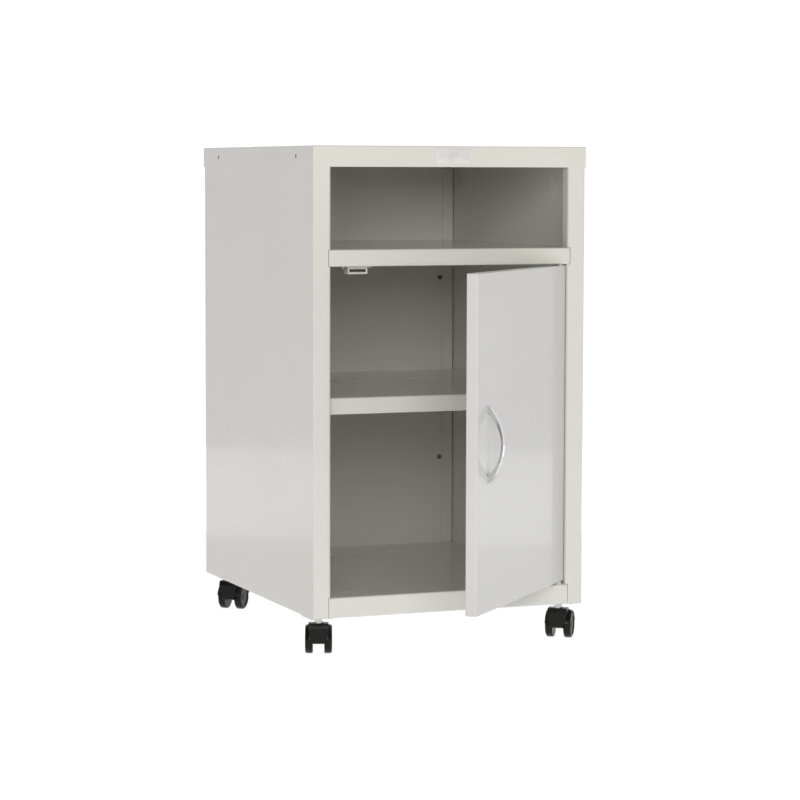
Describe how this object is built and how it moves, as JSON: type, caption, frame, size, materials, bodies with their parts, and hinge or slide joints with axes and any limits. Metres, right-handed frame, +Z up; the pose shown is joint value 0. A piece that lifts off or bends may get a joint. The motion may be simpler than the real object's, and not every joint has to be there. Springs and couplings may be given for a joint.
{
  "type": "mobile printer stand",
  "caption": "Steel cabinet stand with a flat top, an open niche, a hinged door over a shelf and a compartment, and swivelling twin-wheel casters under its corners.",
  "frame": {"origin": "on the floor, under the middle of the cabinet", "axes": "+Z up, the door and the open niche face -Y, +X to the right of someone facing the front"},
  "size_m": [0.4567, 0.7895, 0.76],
  "materials": {
    "cabinet_paint": "warm light grey powder coat, glossy",
    "door_paint": "light grey powder coat, glossy",
    "structure_paint": "light grey powder coat",
    "handle_chrome": "polished chrome",
    "zinc_steel": "bright zinc plate",
    "dark_screws": "dull zinc plate",
    "caster_housing": "semi-gloss black nylon",
    "caster_wheels": "semi-gloss black nylon",
    "white_plastic": "moulded white plastic",
    "ferrite": "sintered black magnet",
    "nylon": "natural nylon",
    "badge_plate": "blank white plate"
  },
  "bodies": {
    "cabinet": {"back_panel": "cabinet_paint", "back_panel_screws": "dark_screws", "badge_plate": "badge_plate", "bottom_panel": "cabinet_paint", "caster_front_left_plate": "zinc_steel", "caster_front_left_stem": "zinc_steel", "caster_front_right_plate": "zinc_steel", "caster_front_right_stem": "zinc_steel", "caster_gussets": "structure_paint", "caster_rear_left_plate": "zinc_steel", "caster_rear_left_stem": "zinc_steel", "caster_rear_right_plate": "zinc_steel", "caster_rear_right_stem": "zinc_steel", "caster_screws": "zinc_steel", "catch_housing": "white_plastic", "catch_magnet": "ferrite", "catch_pole_plates": "zinc_steel", "catch_screws": "zinc_steel", "cover_screws": "dark_screws", "cover_stiffener": "structure_paint", "hinge_pin_bottom": "zinc_steel", "hinge_pin_top": "zinc_steel", "hinge_washer": "nylon", "left_side_panel": "cabinet_paint", "middle_shelf": "cabinet_paint", "right_side_panel": "cabinet_paint", "shelf_cleats": "structure_paint", "shelf_screws": "zinc_steel", "top_cover": "cabinet_paint", "upper_shelf": "cabinet_paint"},
    "door": {"door_panel": "door_paint", "door_stiffener": "structure_paint", "door_handle": "handle_chrome", "handle_screws": "zinc_steel", "hinge_bush_bottom": "nylon", "hinge_bush_top": "nylon"},
    "caster_front_left": {"caster_front_left_hood": "caster_housing", "caster_front_left_axle": "zinc_steel"},
    "wheel_front_left_left": {"caster_front_left_wheel_left": "caster_wheels"},
    "wheel_front_left_right": {"caster_front_left_wheel_right": "caster_wheels"},
    "caster_front_right": {"caster_front_right_hood": "caster_housing", "caster_front_right_axle": "zinc_steel"},
    "wheel_front_right_left": {"caster_front_right_wheel_left": "caster_wheels"},
    "wheel_front_right_right": {"caster_front_right_wheel_right": "caster_wheels"},
    "caster_rear_left": {"caster_rear_left_hood": "caster_housing", "caster_rear_left_axle": "zinc_steel"},
    "wheel_rear_left_left": {"caster_rear_left_wheel_left": "caster_wheels"},
    "wheel_rear_left_right": {"caster_rear_left_wheel_right": "caster_wheels"},
    "caster_rear_right": {"caster_rear_right_hood": "caster_housing", "caster_rear_right_axle": "zinc_steel"},
    "wheel_rear_right_left": {"caster_rear_right_wheel_left": "caster_wheels"},
    "wheel_rear_right_right": {"caster_rear_right_wheel_right": "caster_wheels"}
  },
  "joints": [
    {"name": "door_hinge", "type": "hinge", "parent": "cabinet", "child": "door", "pos_m": [0.1825, -0.253, 0.33825], "axis": [0, 0, 1], "range_deg": [-45.8, 64.2]},
    {"name": "swivel_front_left", "type": "hinge", "parent": "cabinet", "child": "caster_front_left", "pos_m": [-0.198, -0.222, 0.0485], "axis": [0, 0, 1], "continuous": true},
    {"name": "wheel_front_left_left_spin", "type": "hinge", "parent": "caster_front_left", "child": "wheel_front_left_left", "pos_m": [-0.19262, -0.208, 0.02], "axis": [0.9336, -0.3584, 0], "continuous": true},
    {"name": "wheel_front_left_right_spin", "type": "hinge", "parent": "caster_front_left", "child": "wheel_front_left_right", "pos_m": [-0.19262, -0.208, 0.02], "axis": [0.9336, -0.3584, 0], "continuous": true},
    {"name": "swivel_front_right", "type": "hinge", "parent": "cabinet", "child": "caster_front_right", "pos_m": [0.198, -0.222, 0.0485], "axis": [0, 0, 1], "continuous": true},
    {"name": "wheel_front_right_left_spin", "type": "hinge", "parent": "caster_front_right", "child": "wheel_front_right_left", "pos_m": [0.20682, -0.20986, 0.02], "axis": [0.809, -0.5878, 0], "continuous": true},
    {"name": "wheel_front_right_right_spin", "type": "hinge", "parent": "caster_front_right", "child": "wheel_front_right_right", "pos_m": [0.20682, -0.20986, 0.02], "axis": [0.809, -0.5878, 0], "continuous": true},
    {"name": "swivel_rear_left", "type": "hinge", "parent": "cabinet", "child": "caster_rear_left", "pos_m": [-0.19, 0.224, 0.0485], "axis": [0, 0, 1], "continuous": true},
    {"name": "wheel_rear_left_left_spin", "type": "hinge", "parent": "caster_rear_left", "child": "wheel_rear_left_left", "pos_m": [-0.18036, 0.23549, 0.02], "axis": [0.766, -0.6428, 0], "continuous": true},
    {"name": "wheel_rear_left_right_spin", "type": "hinge", "parent": "caster_rear_left", "child": "wheel_rear_left_right", "pos_m": [-0.18036, 0.23549, 0.02], "axis": [0.766, -0.6428, 0], "continuous": true},
    {"name": "swivel_rear_right", "type": "hinge", "parent": "cabinet", "child": "caster_rear_right", "pos_m": [0.19, 0.224, 0.0485], "axis": [0, 0, 1], "continuous": true},
    {"name": "wheel_rear_right_left_spin", "type": "hinge", "parent": "caster_rear_right", "child": "wheel_rear_right_left", "pos_m": [0.1975, 0.23699, 0.02], "axis": [0.866, -0.5, 0], "continuous": true},
    {"name": "wheel_rear_right_right_spin", "type": "hinge", "parent": "caster_rear_right", "child": "wheel_rear_right_right", "pos_m": [0.1975, 0.23699, 0.02], "axis": [0.866, -0.5, 0], "continuous": true}
  ]
}
